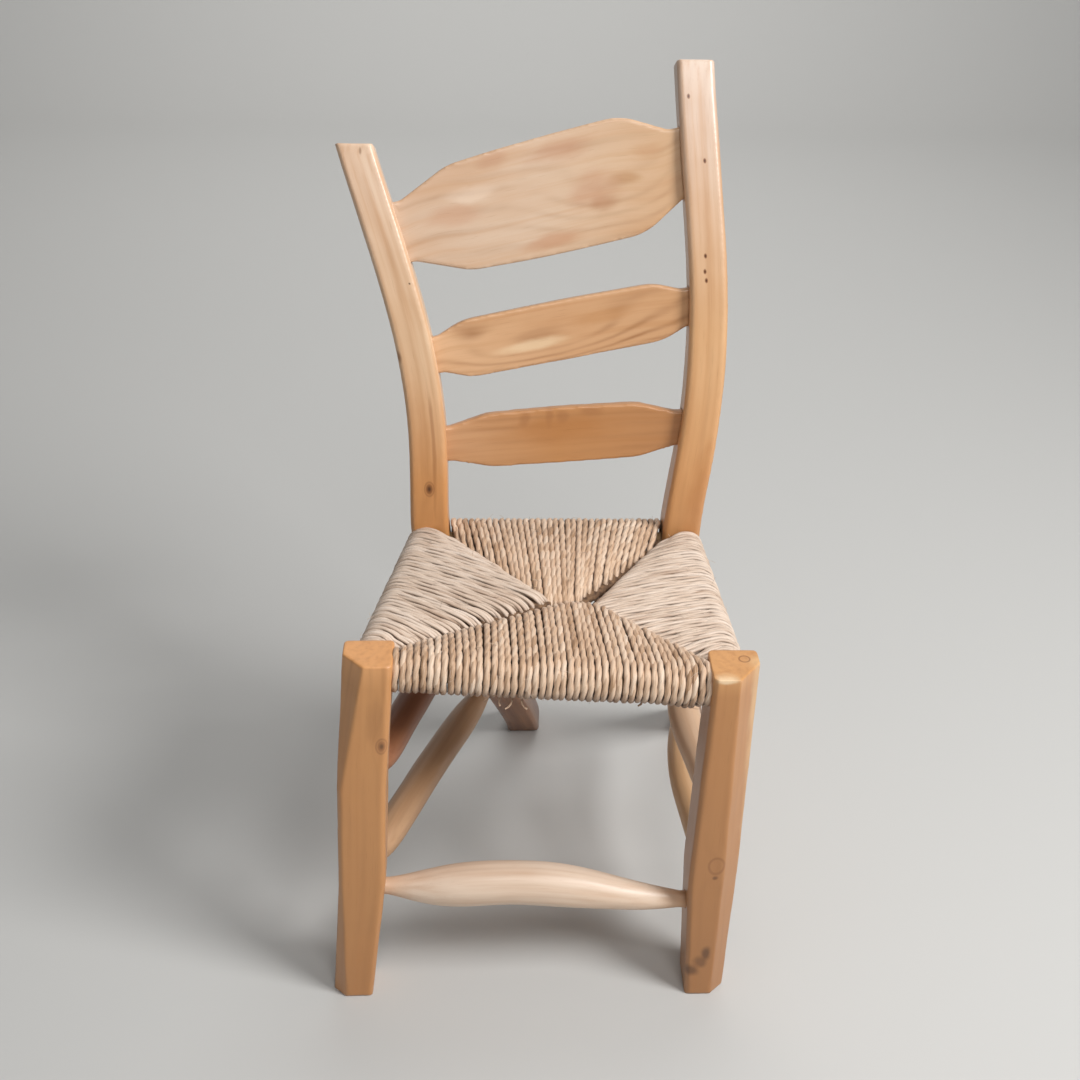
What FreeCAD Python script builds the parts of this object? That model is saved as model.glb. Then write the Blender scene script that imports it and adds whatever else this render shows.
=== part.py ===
import FreeCAD, Part
import math
import os

from FreeCAD import Vector

# A small hand-made ladderback chair with a rush seat, in millimetres.
# Left and right are as seen from in front. The front faces -Y, the back +Y, up is +Z.
# While it is built, X is measured from between the front legs and Y from the front of their
# feet. At the end the whole chair is moved so that the origin is at the middle of its box,
# on the floor.

os.makedirs("parts", exist_ok=True)

# Front legs: hewn posts, each with its own height and lean, and a knee in its lower half.
leg_left_height = 400.0
leg_right_height = 386.0
leg_left_top_x = -151.0
leg_left_foot_x = -179.0
leg_right_top_x = 181.0
leg_right_foot_x = 176.0
leg_front_y = -3.0
leg_width = 46.0
leg_left_depth = 46.0
leg_right_depth = 51.0
leg_foot_width = 39.5
leg_foot_narrowing = 4.0
leg_knee_height = 145.0
leg_left_knee_width = 45.0
leg_left_knee_shift = 4.0
leg_right_knee_width = 50.0
leg_right_knee_shift = -2.0
leg_edge = 3.5

# Each front leg's outer front corner is a wide facet. The left one fades out and comes back.
facet_left_top_width = 20.0
facet_left_top_depth = 23.0
facet_left_low = 4.0
facet_left_low_height = 262.0
facet_left_foot = 13.0
facet_right_top_width = 22.0
facet_right_top_depth = 30.0
facet_right_knee_width = 17.0
facet_right_knee_depth = 20.0
facet_right_foot = 14.0

# Rear posts: each one bent stick from the floor to the top of the back. Its sideways places
# are given at four levels from the floor to the seat, and four more from there to its top.
rear_rail_height = 372.0
rear_seat_y = 281.0
rear_kick = 192.0
rear_kick_power = 1.7
back_rake = 105.0
back_rake_height = 848.0
post_left_height = 768.0
post_left_x_below = [2.0, -27.0, -70.0, -103.0]
post_left_x_above = [-105.0, -115.0, -141.0, -174.0]
post_right_height = 843.0
post_right_x_below = [212.0, 190.0, 170.0, 157.0]
post_right_x_above = [169.0, 174.0, 165.0, 154.0]
post_width = 39.0
post_top_width = 37.0
post_depth = 37.0
post_top_depth = 30.0
post_edge = 3.5
post_sections = 16

# Back slats: thin boards, wide in the middle and narrow where they enter the posts.
slat_thickness = 12.0
slat_bow = 6.0
slat_crown_share = 0.1
slat_neck_radius = 9.0
slat_shoulder_radius = 60.0
slat_crown_radius = 1500.0
top_slat_left_drop = 83.0
top_slat_right_drop = 84.0
top_slat_left_width = 104.0
top_slat_right_width = 115.0
top_slat_left_end_width = 60.0
top_slat_right_end_width = 67.0
top_slat_left_shoulder = 75.0
top_slat_right_shoulder = 67.0
bottom_slat_left_height = 479.0
bottom_slat_right_height = 501.0
bottom_slat_width = 57.0
bottom_slat_end_width = 36.0
bottom_slat_shoulder = 62.0
middle_slat_left_drop = 13.0
middle_slat_right_drop = 4.5
middle_slat_width = 58.0
middle_slat_end_width = 37.0
middle_slat_shoulder = 50.0

# Seat rails, hidden in the rush.
rail_diameter = 20.0
rail_tenon_diameter = 16.0
rail_tapers = (0.06, 0.06)
front_rail_left_height = 384.0
front_rail_right_height = 363.0
side_rail_front_drop = 7.0
side_rail_back_rise = 5.0

# Stretchers: thick in the middle and thin where they enter the legs.
stretcher_tenon_diameter = 17.0
front_stretcher_left_height = 130.0
front_stretcher_right_height = 105.0
front_stretcher_diameter = 43.0
front_stretcher_arch = 12.0
front_stretcher_tapers = (0.3, 0.5)
side_stretcher_diameter = 33.0
side_stretcher_arch = 3.0
side_stretcher_tapers = (0.14, 0.3)
right_stretcher_bend = -14.0
lower_left_stretcher_height = 150.0
lower_left_stretcher_front_drop = 10.0
lower_right_stretcher_height = 150.0
lower_right_stretcher_front_drop = 28.0
upper_left_stretcher_height = 252.0
upper_right_stretcher_height = 250.0
upper_right_stretcher_front_drop = 48.0
back_stretcher_height = 205.0
back_stretcher_diameter = 30.0
bar_sections = 9

# Joints: a tenon stops short of the middle of its leg, in a mortise a little wider and deeper.
tenon_wall = 1.5
tenon_stop = stretcher_tenon_diameter / 2 + tenon_wall
glue_gap = 0.15
tenon_end_gap = 1.0
mortise_reach = 60.0
leg_neck = 6.0
post_neck = 10.0
slat_neck = 4.5

# Turns in an outline or a cord's path take up at most this share of each run they join.
turn_share = 0.97

# Rush seat: one cord wound over each rail and back under it, round a stuffed pocket.
rush_cord_diameter = 10.0
rush_rail_gap = 0.3
rush_inner_half_height = 9.0
rush_seam_gap = 1.6
rush_leg_gap = 3.0
rush_centre_left_x = 11.0
rush_centre_right_x = 38.0
rush_centre_y = 141.0
rush_front_loops = 23
rush_back_loops = 18
rush_left_loops = 17
rush_right_loops = 17
stuffing_gap = 0.5
stuffing_seam_gap = 4.0
measuring_step = 4.0

# How often a search for a height halves its range.
halvings = 50


def post_line(height, x_below, x_above):
    """Centre line of a rear post: kicked back below the seat and raked back above it."""
    points = []
    for level, x in enumerate(x_below):
        down = 1 - level / (len(x_below) - 1)
        y = rear_seat_y + rear_kick * down ** rear_kick_power
        points.append(Vector(x, y, rear_rail_height * (1 - down)))
    for level, x in enumerate(x_above):
        z = rear_rail_height + (height - rear_rail_height) * (level + 1) / len(x_above)
        up = (z - rear_rail_height) / (back_rake_height - rear_rail_height)
        points.append(Vector(x, rear_seat_y + back_rake * up ** 2, z))
    curve = Part.BSplineCurve()
    curve.interpolate(points)
    return curve


def place_at_height(curve, height):
    """Point and direction of a rising centre line where it passes a height."""
    low, high = curve.FirstParameter, curve.LastParameter
    for _ in range(halvings):
        middle = (low + high) / 2
        if curve.value(middle).z < height:
            low = middle
        else:
            high = middle
    return curve.value(low), curve.tangent(low)[0]


def hewn_section(centre, side, back, width, depth, corners):
    """Closed eight-sided wire. Its corners, from front left round by the right, are cut by (across, deep)."""
    half_width, half_depth = width / 2, depth / 2
    front_left, front_right, back_right, back_left = corners
    outline = [
        (-half_width, -half_depth + front_left[1]),
        (-half_width + front_left[0], -half_depth),
        (half_width - front_right[0], -half_depth),
        (half_width, -half_depth + front_right[1]),
        (half_width, half_depth - back_right[1]),
        (half_width - back_right[0], half_depth),
        (-half_width + back_left[0], half_depth),
        (-half_width, half_depth - back_left[1]),
    ]
    points = [centre + side * across + back * deep for across, deep in outline]
    return Part.makePolygon(points + points[:1])


def cut_at_floor(shape):
    box = shape.BoundBox
    corner = Vector(box.XMin, box.YMin, box.ZMin)
    below = Part.makeBox(box.XLength, box.YLength, -box.ZMin, corner)
    return shape.cut(below)


# Centre lines of the four uprights, from the floor up.
leg_left_y = leg_front_y + leg_left_depth / 2
leg_right_y = leg_front_y + leg_right_depth / 2
leg_left_line = Part.LineSegment(
    Vector(leg_left_foot_x, leg_left_y, 0), Vector(leg_left_top_x, leg_left_y, leg_left_height))
leg_right_line = Part.LineSegment(
    Vector(leg_right_foot_x, leg_right_y, 0), Vector(leg_right_top_x, leg_right_y, leg_right_height))
post_left_line = post_line(post_left_height, post_left_x_below, post_left_x_above)
post_right_line = post_line(post_right_height, post_right_x_below, post_right_x_above)


def front_leg(line, height, top_depth, facet_side, levels):
    """Hewn leg from sections at rising levels: height, width, shift sideways and the facet's two sides."""
    side, back = Vector(1, 0, 0), Vector(0, 1, 0)
    wires = []
    for level, width, shift, facet in levels:
        up = level / height
        centre = line.value(line.FirstParameter + (line.LastParameter - line.FirstParameter) * up)
        depth = top_depth - leg_foot_narrowing * (1 - up)
        corners = [(leg_edge, leg_edge)] * 4
        corners[facet_side] = facet
        wires.append(hewn_section(centre + side * shift, side, back, width, depth, corners))
    return Part.makeLoft(wires, True, True)


def rear_post(line, height):
    """Bent stick with softened corners, flat at the floor and cut square at the top."""
    wires = []
    foot = line.value(line.FirstParameter)
    foot_direction = line.tangent(line.FirstParameter)[0]
    places = [(foot - foot_direction * post_depth, foot_direction)]
    for step in range(post_sections + 1):
        reach = line.FirstParameter + (line.LastParameter - line.FirstParameter) * step / post_sections
        places.append((line.value(reach), line.tangent(reach)[0]))
    for centre, direction in places:
        above_seat = max(0.0, centre.z - rear_rail_height) / (height - rear_rail_height)
        width = post_width + (post_top_width - post_width) * above_seat
        depth = post_depth + (post_top_depth - post_depth) * above_seat
        side = Vector(1, 0, 0)
        back = direction.cross(side)
        back.normalize()
        wires.append(hewn_section(centre, side, back, width, depth, [(post_edge, post_edge)] * 4))
    return cut_at_floor(Part.makeLoft(wires, True, False))


def swell_at(share, start_taper, end_taper):
    """From 0 at the necks to 1 where the bar is at its thickest."""
    from_start = min(1.0, share / start_taper)
    from_end = min(1.0, (1 - share) / end_taper)
    return math.sin(math.pi / 2 * from_start) * math.sin(math.pi / 2 * from_end)


def round_bar(start, end, tenon, middle, bend, tapers, neck_start, neck_end):
    """Round bar between two upright axes, with a cylinder tenon at each end and a swelling middle."""
    along = end - start
    length = along.Length
    along.normalize()
    first = tenon_stop
    last = length - tenon_stop
    neck_end = length - neck_end
    bar = Part.makeCylinder(tenon / 2, neck_start - first, start + along * first, along)
    bar = bar.fuse(Part.makeCylinder(tenon / 2, last - neck_end, start + along * neck_end, along))
    wires = []
    for station in range(bar_sections):
        share = station / (bar_sections - 1)
        swell = swell_at(share, *tapers)
        radius = (tenon + (middle - tenon) * swell) / 2
        centre = start + along * (neck_start + (neck_end - neck_start) * share)
        centre = centre + bend * math.sin(math.pi * share) ** 2
        wires.append(Part.Wire(Part.Circle(centre, along, radius).toShape()))
    return bar.fuse(Part.makeLoft(wires, True, False)).removeSplitter()


def round_mortise(start, end, tenon):
    """Hole for the tenon at the start of a bar, a glue gap wider, an end gap deeper and open outward."""
    along = end - start
    along.normalize()
    bottom = start + along * (tenon_stop - tenon_end_gap)
    return Part.makeCylinder(tenon / 2 + glue_gap, mortise_reach, bottom, along)


def rounded_path(points, radii):
    """Straight runs joined by tangent arcs of the given radius at each inner point."""
    edges = []
    position = points[0]
    for before, corner, after, radius in zip(points, points[1:], points[2:], radii):
        arriving = corner - before
        leaving = after - corner
        arriving.normalize()
        leaving.normalize()
        turn = arriving.getAngle(leaving)
        shorter = min((corner - before).Length, (after - corner).Length)
        setback = min(radius * math.tan(turn / 2), shorter / 2 * turn_share)
        radius = setback / math.tan(turn / 2)
        arc_start = corner - arriving * setback
        arc_end = corner + leaving * setback
        bisector = leaving - arriving
        bisector.normalize()
        middle = corner + bisector * (radius / math.cos(turn / 2) - radius)
        edges.append(Part.LineSegment(position, arc_start).toShape())
        edges.append(Part.Arc(arc_start, middle, arc_end).toShape())
        position = arc_end
    edges.append(Part.LineSegment(position, points[-1]).toShape())
    return Part.Wire(edges)


class Slat:
    """Board between the posts, in its own axes: along from left to right, up, and through.

    Its widths, the widths of its ends and its shoulders each come as one value for the left half
    and one for the right.
    """

    def __init__(self, left_height, right_height, widths, end_widths, shoulders):
        self.start, left_up = place_at_height(post_left_line, left_height)
        self.end, right_up = place_at_height(post_right_line, right_height)
        self.along = self.end - self.start
        self.length = self.along.Length
        self.along.normalize()
        up = left_up + right_up
        up = up - self.along * up.dot(self.along)
        up.normalize()
        self.up = up
        self.through = self.up.cross(self.along)
        self.widths = widths
        self.end_widths = end_widths
        self.shoulders = shoulders

    def place(self, shape):
        turn = FreeCAD.Rotation(self.along, self.through, self.up, "XYZ")
        placed = shape.copy()
        placed.Placement = FreeCAD.Placement(self.start, turn).multiply(shape.Placement)
        return placed

    def curved_plate(self, thickness, height):
        """Plate bowed backwards by slat_bow over the distance between the posts."""
        half = self.length / 2
        radius = (half ** 2 + slat_bow ** 2) / (2 * slat_bow)
        centre = Vector(half, slat_bow - radius, -height / 2)
        outer = Part.makeCylinder(radius + thickness / 2, height, centre)
        inner = Part.makeCylinder(radius - thickness / 2, height, centre)
        reach = slat_bow + thickness
        keep = Part.makeBox(self.length, 2 * reach, height, Vector(0, -reach, -height / 2))
        return outer.cut(inner).common(keep)

    def outline(self):
        """Front view of the board, with gently curved long edges."""
        first, last = tenon_stop, self.length - tenon_stop
        face_start = post_width / 2 + slat_neck
        face_end = self.length - face_start
        left_end, right_end = [width / 2 for width in self.end_widths]
        left_half, right_half = [width / 2 for width in self.widths]
        swell = (left_half - left_end + right_half - right_end) / 2
        crown = (left_half + right_half) / 2 + swell * slat_crown_share
        edge = [
            (first, left_end),
            (face_start, left_end),
            (self.shoulders[0], left_half),
            (self.length / 2, crown),
            (self.length - self.shoulders[1], right_half),
            (face_end, right_end),
            (last, right_end),
        ]
        radii = [slat_neck_radius, slat_shoulder_radius, slat_crown_radius,
                 slat_shoulder_radius, slat_neck_radius]
        edges = []
        for sign in (1, -1):
            edges += rounded_path([Vector(along, 0, up * sign) for along, up in edge], radii).Edges
        for along, half in ((first, left_end), (last, right_end)):
            edges.append(Part.LineSegment(Vector(along, 0, half), Vector(along, 0, -half)).toShape())
        return Part.Face(Part.Wire(Part.sortEdges(edges)[0]))

    def board(self):
        reach = slat_bow + slat_thickness
        outline = self.outline()
        outline.translate(Vector(0, -reach, 0))
        prism = outline.extrude(Vector(0, 2 * reach, 0))
        return self.place(self.curved_plate(slat_thickness, 2 * max(self.widths)).common(prism))

    def mortises(self):
        """The left and the right half of the board at the width of its end, a glue gap larger."""
        plate = self.curved_plate(slat_thickness + 2 * glue_gap, 2 * max(self.end_widths))
        depth = tenon_stop - tenon_end_gap
        reach = slat_bow + slat_thickness
        half = self.length / 2
        halves = []
        for start, end_width in zip((depth, half), self.end_widths):
            height = end_width + 2 * glue_gap
            window = Part.makeBox(half - depth, 2 * reach, height, Vector(start, -reach, -height / 2))
            halves.append(self.place(plate.common(window)))
        return halves


def least_gap(path, wire_diameter, turns):
    """Least gap between one turn of a wound cord and the next, measured on points."""
    points = path.discretize(Distance=measuring_step)
    per_turn = len(points) // turns
    nearest = path.Length
    for here, point in enumerate(points):
        for other in points[here + per_turn // 2:here + 2 * per_turn]:
            nearest = min(nearest, point.distanceToPoint(other))
    return nearest - wire_diameter


class RushPanel:
    """One of the four fields of the seat: a cord wound round its rail and a stuffed pocket."""

    def __init__(self, rail_start, rail_end, inward, from_start, from_end, seam, loops):
        self.origin = rail_start
        self.along = rail_end - rail_start
        self.length = self.along.Length
        self.along.normalize()
        self.up = self.along.cross(inward)
        if self.up.z < 0:
            self.up = self.up * -1
        self.up.normalize()
        self.inward = self.along.cross(self.up)
        if self.inward.dot(inward) < 0:
            self.inward = self.inward * -1
        skew = self.along.getAngle(Vector(0, 0, 1).cross(inward))
        skew = min(skew, math.pi - skew)
        outside = rail_diameter / 2 + rush_rail_gap + rush_cord_diameter
        self.first = from_start / math.cos(skew) + outside * math.tan(skew)
        self.last = self.length - from_end / math.cos(skew) - outside * math.tan(skew)
        self.seam = [(corner - rail_start) for corner in seam]
        self.loops = loops

    def seam_lines(self, inset):
        """Slope and height of each seam line over the rail, moved towards the rail by an inset."""
        lines = []
        for near, far in zip(self.seam, self.seam[1:]):
            slope = (far.dot(self.inward) - near.dot(self.inward)) / (far - near).dot(self.along)
            height = near.dot(self.inward) - slope * near.dot(self.along)
            lines.append((slope, height - inset * math.hypot(1, slope)))
        return lines

    def depth_at(self, along, inset):
        """How far inward the field reaches at one place along the rail."""
        return min(slope * along + height for slope, height in self.seam_lines(inset))

    def to_seat(self, along, inward, up):
        return self.origin + self.along * along + self.inward * inward + self.up * up

    def roll_shoulder(self, roll, inner):
        """Height over the rail where a run from the seam, laid against the roll, meets its outer side."""
        half = rush_inner_half_height
        tilt = math.atan2(half, inner) + math.acos(roll / math.hypot(half, inner))
        return roll / math.tan(tilt / 2)

    def winding(self):
        """Cord over the rail and back under it, half a step further along at each crossing."""
        wire_radius = rush_cord_diameter / 2
        roll = rail_diameter / 2 + rush_rail_gap + wire_radius
        half = rush_inner_half_height
        inset = wire_radius + rush_seam_gap / 2
        start = self.first + wire_radius + rush_leg_gap
        step = (self.last - wire_radius - rush_leg_gap - start) / (2 * self.loops - 1)
        points = []
        radii = []
        for loop in range(self.loops):
            over = start + step * 2 * loop
            under = over + step
            over_inner = max(self.depth_at(over, inset), roll)
            under_inner = max(self.depth_at(under, inset), roll)
            points.append(self.to_seat(over, over_inner, half))
            points.append(self.to_seat(over, -roll, self.roll_shoulder(roll, over_inner)))
            points.append(self.to_seat(under, -roll, -self.roll_shoulder(roll, under_inner)))
            points.append(self.to_seat(under, under_inner, -half))
            radii += [half, roll, roll, half]
        path = rounded_path(points, radii[1:-1])
        start_direction = points[1] - points[0]
        profile = Part.Wire(Part.Circle(points[0], start_direction, wire_radius).toShape())
        sweep = Part.BRepOffsetAPI.MakePipeShell(path)
        sweep.add(profile)
        sweep.build()
        sweep.makeSolid()
        return sweep.shape(), path

    def stuffing(self):
        inset = rush_cord_diameter + rush_seam_gap / 2 + stuffing_seam_gap
        rail_clear = rail_diameter / 2 + stuffing_gap
        half = rush_inner_half_height - rush_cord_diameter / 2 - stuffing_gap
        lines = self.seam_lines(inset)
        first = max(self.first + stuffing_gap, (rail_clear - lines[0][1]) / lines[0][0])
        last = min(self.last - stuffing_gap, (rail_clear - lines[-1][1]) / lines[-1][0])
        bends = [(near[1] - far[1]) / (far[0] - near[0]) for near, far in zip(lines, lines[1:])]
        corners = [self.to_seat(first, rail_clear, -half), self.to_seat(last, rail_clear, -half)]
        for at in [last] + bends[::-1] + [first]:
            depth = self.depth_at(at, inset)
            if depth > rail_clear + stuffing_gap:
                corners.append(self.to_seat(at, depth, -half))
        return Part.Face(Part.makePolygon(corners + corners[:1])).extrude(self.up * 2 * half)


parts = {}

# The four uprights, before their mortises are cut.
parts["front_leg_left"] = front_leg(leg_left_line, leg_left_height, leg_left_depth, 0, [
    (0, leg_foot_width, 0, (facet_left_foot, facet_left_foot)),
    (leg_knee_height, leg_left_knee_width, leg_left_knee_shift, (facet_left_low, facet_left_low)),
    (facet_left_low_height, leg_width, 0, (facet_left_low, facet_left_low)),
    (leg_left_height, leg_width, 0, (facet_left_top_width, facet_left_top_depth)),
])
parts["front_leg_right"] = front_leg(leg_right_line, leg_right_height, leg_right_depth, 1, [
    (0, leg_foot_width, 0, (facet_right_foot, facet_right_foot)),
    (leg_knee_height, leg_right_knee_width, leg_right_knee_shift,
     (facet_right_knee_width, facet_right_knee_depth)),
    (leg_right_height, leg_width, 0, (facet_right_top_width, facet_right_top_depth)),
])
parts["back_post_left"] = rear_post(post_left_line, post_left_height)
parts["back_post_right"] = rear_post(post_right_line, post_right_height)


def on_leg(line, height):
    """Point on a straight leg's centre line at a height."""
    foot, top = line.StartPoint, line.EndPoint
    return foot + (top - foot) * (height / top.z)


def on_post(line, height):
    return place_at_height(line, height)[0]


uprights = {
    "front_leg_left": (leg_left_line, on_leg, leg_left_depth / 2 + leg_neck),
    "front_leg_right": (leg_right_line, on_leg, leg_right_depth / 2 + leg_neck),
    "back_post_left": (post_left_line, on_post, post_width / 2 + post_neck),
    "back_post_right": (post_right_line, on_post, post_width / 2 + post_neck),
}

# How far the middle of a round bar stands away from the straight line between its ends.
straight = Vector(0, 0, 0)
front_arch = Vector(0, 0, front_stretcher_arch)
side_arch = Vector(0, 0, side_stretcher_arch)
right_arch = Vector(right_stretcher_bend, 0, side_stretcher_arch)

# Round bars: upright at each end with its height, tenon, middle thickness, bend and tapers.
bars = {
    "front_seat_rail": ("front_leg_left", front_rail_left_height, "front_leg_right",
                        front_rail_right_height, rail_tenon_diameter, rail_diameter, straight, rail_tapers),
    "back_seat_rail": ("back_post_left", rear_rail_height, "back_post_right",
                       rear_rail_height, rail_tenon_diameter, rail_diameter, straight, rail_tapers),
    "left_seat_rail": ("front_leg_left", front_rail_left_height - side_rail_front_drop,
                       "back_post_left", rear_rail_height + side_rail_back_rise,
                       rail_tenon_diameter, rail_diameter, straight, rail_tapers),
    "right_seat_rail": ("front_leg_right", front_rail_right_height - side_rail_front_drop,
                        "back_post_right", rear_rail_height + side_rail_back_rise,
                        rail_tenon_diameter, rail_diameter, straight, rail_tapers),
    "front_stretcher": ("front_leg_left", front_stretcher_left_height, "front_leg_right",
                        front_stretcher_right_height, stretcher_tenon_diameter,
                        front_stretcher_diameter, front_arch, front_stretcher_tapers),
    "lower_left_stretcher": ("front_leg_left", lower_left_stretcher_height - lower_left_stretcher_front_drop,
                             "back_post_left", lower_left_stretcher_height, stretcher_tenon_diameter,
                             side_stretcher_diameter, side_arch, side_stretcher_tapers),
    "lower_right_stretcher": ("front_leg_right",
                              lower_right_stretcher_height - lower_right_stretcher_front_drop,
                              "back_post_right", lower_right_stretcher_height, stretcher_tenon_diameter,
                              side_stretcher_diameter, right_arch, side_stretcher_tapers),
    "upper_left_stretcher": ("front_leg_left", upper_left_stretcher_height, "back_post_left",
                             upper_left_stretcher_height, stretcher_tenon_diameter,
                             side_stretcher_diameter, side_arch, side_stretcher_tapers),
    "upper_right_stretcher": ("front_leg_right",
                              upper_right_stretcher_height - upper_right_stretcher_front_drop,
                              "back_post_right", upper_right_stretcher_height, stretcher_tenon_diameter,
                              side_stretcher_diameter, right_arch, side_stretcher_tapers),
    "back_stretcher": ("back_post_left", back_stretcher_height, "back_post_right",
                       back_stretcher_height, stretcher_tenon_diameter,
                       back_stretcher_diameter, side_arch, side_stretcher_tapers),
}

rail_ends = {}
for name, (first, first_height, second, second_height, tenon, middle, bend, tapers) in bars.items():
    first_line, first_place, first_neck = uprights[first]
    second_line, second_place, second_neck = uprights[second]
    start = first_place(first_line, first_height)
    end = second_place(second_line, second_height)
    rail_ends[name] = (start, end)
    parts[name] = round_bar(start, end, tenon, middle, bend, tapers, first_neck, second_neck)
    parts[first] = parts[first].cut(round_mortise(start, end, tenon))
    parts[second] = parts[second].cut(round_mortise(end, start, tenon))

# The top slat hangs from the post tops, the middle one just below half way between the others.
top_slat_left_height = post_left_height - top_slat_left_drop
top_slat_right_height = post_right_height - top_slat_right_drop
middle_slat_left_height = (top_slat_left_height + bottom_slat_left_height) / 2 - middle_slat_left_drop
middle_slat_right_height = (top_slat_right_height + bottom_slat_right_height) / 2 - middle_slat_right_drop
slats = {
    "top_slat": Slat(top_slat_left_height, top_slat_right_height,
                     (top_slat_left_width, top_slat_right_width),
                     (top_slat_left_end_width, top_slat_right_end_width),
                     (top_slat_left_shoulder, top_slat_right_shoulder)),
    "middle_slat": Slat(middle_slat_left_height, middle_slat_right_height, (middle_slat_width,) * 2,
                        (middle_slat_end_width,) * 2, (middle_slat_shoulder,) * 2),
    "bottom_slat": Slat(bottom_slat_left_height, bottom_slat_right_height, (bottom_slat_width,) * 2,
                        (bottom_slat_end_width,) * 2, (bottom_slat_shoulder,) * 2),
}
for name, slat in slats.items():
    parts[name] = slat.board()
    for post, mortise in zip(("back_post_left", "back_post_right"), slat.mortises()):
        parts[post] = parts[post].cut(mortise)

# The rush fields meet along seams from the corners to a short line at the middle.
centre_left = Vector(rush_centre_left_x, rush_centre_y, rear_rail_height)
centre_right = Vector(rush_centre_right_x, rush_centre_y, rear_rail_height)
front_start, front_end = rail_ends["front_seat_rail"]
back_start, back_end = rail_ends["back_seat_rail"]
left_start, left_end = rail_ends["left_seat_rail"]
right_start, right_end = rail_ends["right_seat_rail"]
leg_clear = leg_width / 2
post_clear = post_width / 2
panels = {
    "front": RushPanel(front_start, front_end, Vector(0, 1, 0), leg_clear, leg_clear,
                       [front_start + Vector(leg_clear, leg_left_depth / 2, 0), centre_left, centre_right,
                        front_end + Vector(-leg_clear, leg_right_depth / 2, 0)], rush_front_loops),
    "back": RushPanel(back_start, back_end, Vector(0, -1, 0), post_clear, post_clear,
                      [back_start + Vector(post_clear, 0, 0), centre_left, centre_right,
                       back_end + Vector(-post_clear, 0, 0)], rush_back_loops),
    "left": RushPanel(left_start, left_end, Vector(1, 0, 0), leg_left_depth / 2, post_clear,
                      [left_start + Vector(0, leg_left_depth / 2, 0), centre_left,
                       left_end + Vector(0, -post_clear, 0)], rush_left_loops),
    "right": RushPanel(right_start, right_end, Vector(-1, 0, 0), leg_right_depth / 2, post_clear,
                       [right_start + Vector(0, leg_right_depth / 2, 0), centre_right,
                        right_end + Vector(0, -post_clear, 0)], rush_right_loops),
}
for name, panel in panels.items():
    parts["rush_" + name + "_winding"], path = panel.winding()
    print(name, "winding least gap to itself", least_gap(path, rush_cord_diameter, panel.loops))
    parts["rush_" + name + "_stuffing"] = panel.stuffing()

whole = Part.makeCompound(list(parts.values())).optimalBoundingBox(False, False)
to_origin = Vector(-(whole.XMin + whole.XMax) / 2, -(whole.YMin + whole.YMax) / 2, -whole.ZMin)
for name, shape in parts.items():
    shape.translate(to_origin)
    print(name, shape.ShapeType, len(shape.Solids), shape.isValid(), round(shape.Volume))
    shape.exportStep("parts/" + name + ".step")
print("moved by", to_origin)
print("box", whole.XLength, whole.YLength, whole.ZLength)
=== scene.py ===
# %% [markdown]
# # A hand-made ladderback chair with a rush seat
# The chair has two kinds of surface. The sticks are hardwood, hewn and shaved by hand and then
# varnished to a honey colour. The seat is cord, twisted from rush leaves as it is wound.
# The solids come in ready-made as a fixed frame, in metres, so each piece is built in its place.

# %% The frame
import math
import bpy
import bmesh
import numpy as np
from mathutils import Matrix, Vector, noise
from mathutils.bvhtree import BVHTree


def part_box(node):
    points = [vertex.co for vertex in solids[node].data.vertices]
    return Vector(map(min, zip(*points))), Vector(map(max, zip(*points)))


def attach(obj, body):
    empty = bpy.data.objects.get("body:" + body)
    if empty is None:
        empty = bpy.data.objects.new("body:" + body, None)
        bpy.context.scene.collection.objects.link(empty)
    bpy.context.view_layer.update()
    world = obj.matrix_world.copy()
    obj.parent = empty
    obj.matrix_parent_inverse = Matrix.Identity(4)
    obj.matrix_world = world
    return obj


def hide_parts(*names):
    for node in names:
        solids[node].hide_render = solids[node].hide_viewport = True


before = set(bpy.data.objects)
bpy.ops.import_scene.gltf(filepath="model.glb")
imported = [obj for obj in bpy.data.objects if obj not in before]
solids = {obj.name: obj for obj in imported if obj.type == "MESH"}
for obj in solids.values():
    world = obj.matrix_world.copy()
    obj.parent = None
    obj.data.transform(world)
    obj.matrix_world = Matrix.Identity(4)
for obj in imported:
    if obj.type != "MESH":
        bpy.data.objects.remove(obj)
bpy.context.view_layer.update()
MM = 0.001

# %% [markdown]
# The camera comes first, because the marks on the wood are later placed by looking through it.
# It stands at about chest height and looks down at the seat. The picture is square, so one
# sensor width serves both sides. The lens is one with which the chair and the floor narrow with
# distance as they do in the photograph.

# %% The camera
def in_scene(name, data):
    """A new object in the scene."""
    made = bpy.data.objects.new(name, data)
    bpy.context.scene.collection.objects.link(made)
    return made


picture_side = 1080
sensor_width = 36.0
lens = 50.0
eye = Vector((-59.78, -1351.9, 1140.0)) * MM
look_down = math.radians(29.0)
tilt = math.radians(1.2)
turn = math.radians(-2.2)

room_x = Vector((math.cos(turn), math.sin(turn), 0))
room_y = Vector((-math.sin(turn), math.cos(turn), 0))
forward = room_y * math.cos(look_down) - Vector((0, 0, math.sin(look_down)))
level_up = room_x.cross(forward)
right = room_x * math.cos(tilt) + level_up * math.sin(tilt)
up = level_up * math.cos(tilt) - room_x * math.sin(tilt)

camera_data = bpy.data.cameras.new("camera")
camera_data.lens = lens
camera_data.sensor_width = sensor_width
camera = in_scene("camera", camera_data)
camera.matrix_world = Matrix((
    (right.x, up.x, -forward.x, eye.x),
    (right.y, up.y, -forward.y, eye.y),
    (right.z, up.z, -forward.z, eye.z),
    (0, 0, 0, 1)))
bpy.context.scene.camera = camera
print("camera looks along", [round(v, 4) for v in forward])


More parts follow.
